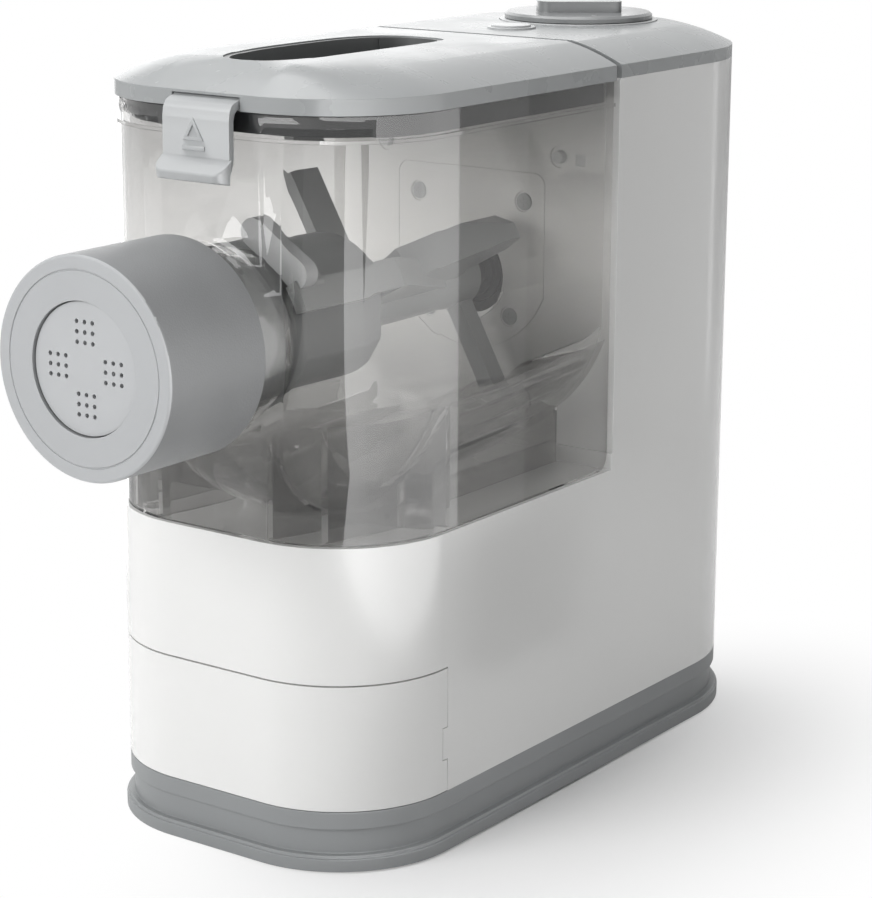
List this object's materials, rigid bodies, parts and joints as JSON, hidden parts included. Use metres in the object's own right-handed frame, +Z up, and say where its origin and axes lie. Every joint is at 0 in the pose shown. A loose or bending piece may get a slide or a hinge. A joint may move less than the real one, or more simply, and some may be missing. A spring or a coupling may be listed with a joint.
{
  "type": "electric pasta maker",
  "caption": "Electric pasta maker: clear mixing chamber with kneading hook, front outlet with shaping disc, clip-on lid, rear control dial, geared drive and storage drawer.",
  "frame": {"origin": "on the ground under the middle of the overall box", "axes": "+X to the right seen from the outlet side, -Y to the front where the pasta comes out, +Z up"},
  "size_m": [0.1386, 0.35, 0.2914],
  "materials": {
    "white_gloss": "glossy moulded shell",
    "white_inner": "satin",
    "base_grey": "satin",
    "cover_grey": "satin",
    "ring_grey": "semi-gloss",
    "lid_grey": "satin",
    "seal_grey": "matte",
    "cap_grey": "fine texture",
    "clear_plastic": "clear, faint smoke tint",
    "dark_plastic": "satin",
    "black_rubber": "matte",
    "seal_rubber": "matte",
    "steel": "machined",
    "die_cast": "cast",
    "brass": "machined",
    "nylon_gear": "moulded",
    "pin_plastic": "polished",
    "board_green": "coated",
    "component_dark": "moulded",
    "component_gold": "film"
  },
  "bodies": {
    "base": {"base_plinth": "base_grey", "bottom_plate": "base_grey", "rubber_feet": "black_rubber", "bottom_screws": "steel", "main_housing": "white_gloss", "vent_grille": "white_gloss", "top_cover": "cover_grey", "cord_gland": "black_rubber", "shield_plate": "white_gloss", "shield_screws": "steel", "motor_stator": "steel", "motor_cradle": "base_grey", "gearbox_front": "die_cast", "gearbox_rear": "die_cast", "gearbox_posts": "steel", "shaft_seal": "seal_rubber", "main_board": "board_green", "transformer": "steel", "capacitor": "component_gold", "control_board": "board_green", "dial_ring": "ring_grey", "button_ring": "ring_grey", "microswitch": "component_dark", "floor_pegs": "white_gloss"},
    "drawer": {"drawer_front": "white_gloss", "drawer_tray": "white_inner", "spare_disc_slots": "white_inner", "spare_disc_ring": "white_inner", "spare_disc_wide": "white_inner"},
    "chamber": {"mixing_chamber": "clear_plastic", "kneading_trough": "clear_plastic"},
    "lid": {"lid": "lid_grey", "lid_grille": "seal_grey", "lid_seal": "seal_grey", "clip_pin": "steel"},
    "clip": {"lid_clip": "lid_grey"},
    "tube": {"extrusion_tube": "dark_plastic", "shaping_disc": "white_inner"},
    "cap": {"front_cap": "cap_grey"},
    "hook": {"kneading_hook": "dark_plastic", "auger_screw": "dark_plastic"},
    "rotor": {"motor_rotor": "steel", "motor_pinion": "brass", "cooling_fan": "dark_plastic"},
    "layshaft": {"lay_shaft": "steel", "lay_gear": "nylon_gear", "lay_pinion": "steel"},
    "drive": {"output_gear": "nylon_gear", "drive_shaft": "steel", "drive_coupling": "dark_plastic"},
    "knob": {"control_knob": "cover_grey"},
    "button": {"start_button": "cover_grey"},
    "pin_left": {"sensor_pin_left": "pin_plastic"},
    "pin_right": {"sensor_pin_right": "pin_plastic"}
  },
  "joints": [
    {"name": "drawer_slide", "type": "slide", "parent": "base", "child": "drawer", "axis": [0, -1, 0], "range_m": [0, 0.11]},
    {"name": "chamber_slide", "type": "slide", "parent": "base", "child": "chamber", "axis": [0, -1, 0], "range_m": [0, 0.18]},
    {"name": "lid_lift", "type": "slide", "parent": "chamber", "child": "lid", "axis": [0, 0, 1], "range_m": [0, 0.12]},
    {"name": "clip_hinge", "type": "hinge", "parent": "lid", "child": "clip", "pos_m": [0, -0.1092, 0.2725], "axis": [-1, 0, 0], "range_deg": [0, 25]},
    {"name": "tube_slide", "type": "slide", "parent": "chamber", "child": "tube", "axis": [0, -1, 0], "range_m": [0, 0.13]},
    {"name": "cap_turn", "type": "hinge", "parent": "tube", "child": "cap", "pos_m": [0, -0.15, 0.1906], "axis": [0, -1, 0], "range_deg": [0, 60]},
    {"name": "motor_spin", "type": "hinge", "parent": "base", "child": "rotor", "pos_m": [0, 0.12, 0.1021], "axis": [0, 1, 0], "continuous": true},
    {"name": "lay_spin", "type": "hinge", "parent": "base", "child": "layshaft", "pos_m": [0, 0.07, 0.1381], "axis": [0, 1, 0], "continuous": true},
    {"name": "drive_spin", "type": "hinge", "parent": "base", "child": "drive", "pos_m": [0, 0.065, 0.1906], "axis": [0, 1, 0], "continuous": true},
    {"name": "hook_spin", "type": "hinge", "parent": "chamber", "child": "hook", "pos_m": [0, 0, 0.1906], "axis": [0, 1, 0], "continuous": true},
    {"name": "knob_turn", "type": "hinge", "parent": "base", "child": "knob", "pos_m": [0, 0.1224, 0.28], "axis": [0, 0, 1], "range_deg": [-90, 90]},
    {"name": "button_press", "type": "slide", "parent": "base", "child": "button", "axis": [0, 0, -1], "range_m": [0, 0.0015], "stiffness_N_per_m": 300, "springref_m": -0.002},
    {"name": "pin_left_press", "type": "slide", "parent": "base", "child": "pin_left", "axis": [0, 1, 0], "range_m": [0, 0.0015], "stiffness_N_per_m": 300, "springref_m": -0.002},
    {"name": "pin_right_press", "type": "slide", "parent": "base", "child": "pin_right", "axis": [0, 1, 0], "range_m": [0, 0.0015], "stiffness_N_per_m": 300, "springref_m": -0.002}
  ],
  "couplings": [
    {"joint": "lay_spin", "follows": "motor_spin", "ratio": -0.24138},
    {"joint": "drive_spin", "follows": "motor_spin", "ratio": 0.065831},
    {"joint": "hook_spin", "follows": "motor_spin", "ratio": 0.065831}
  ]
}
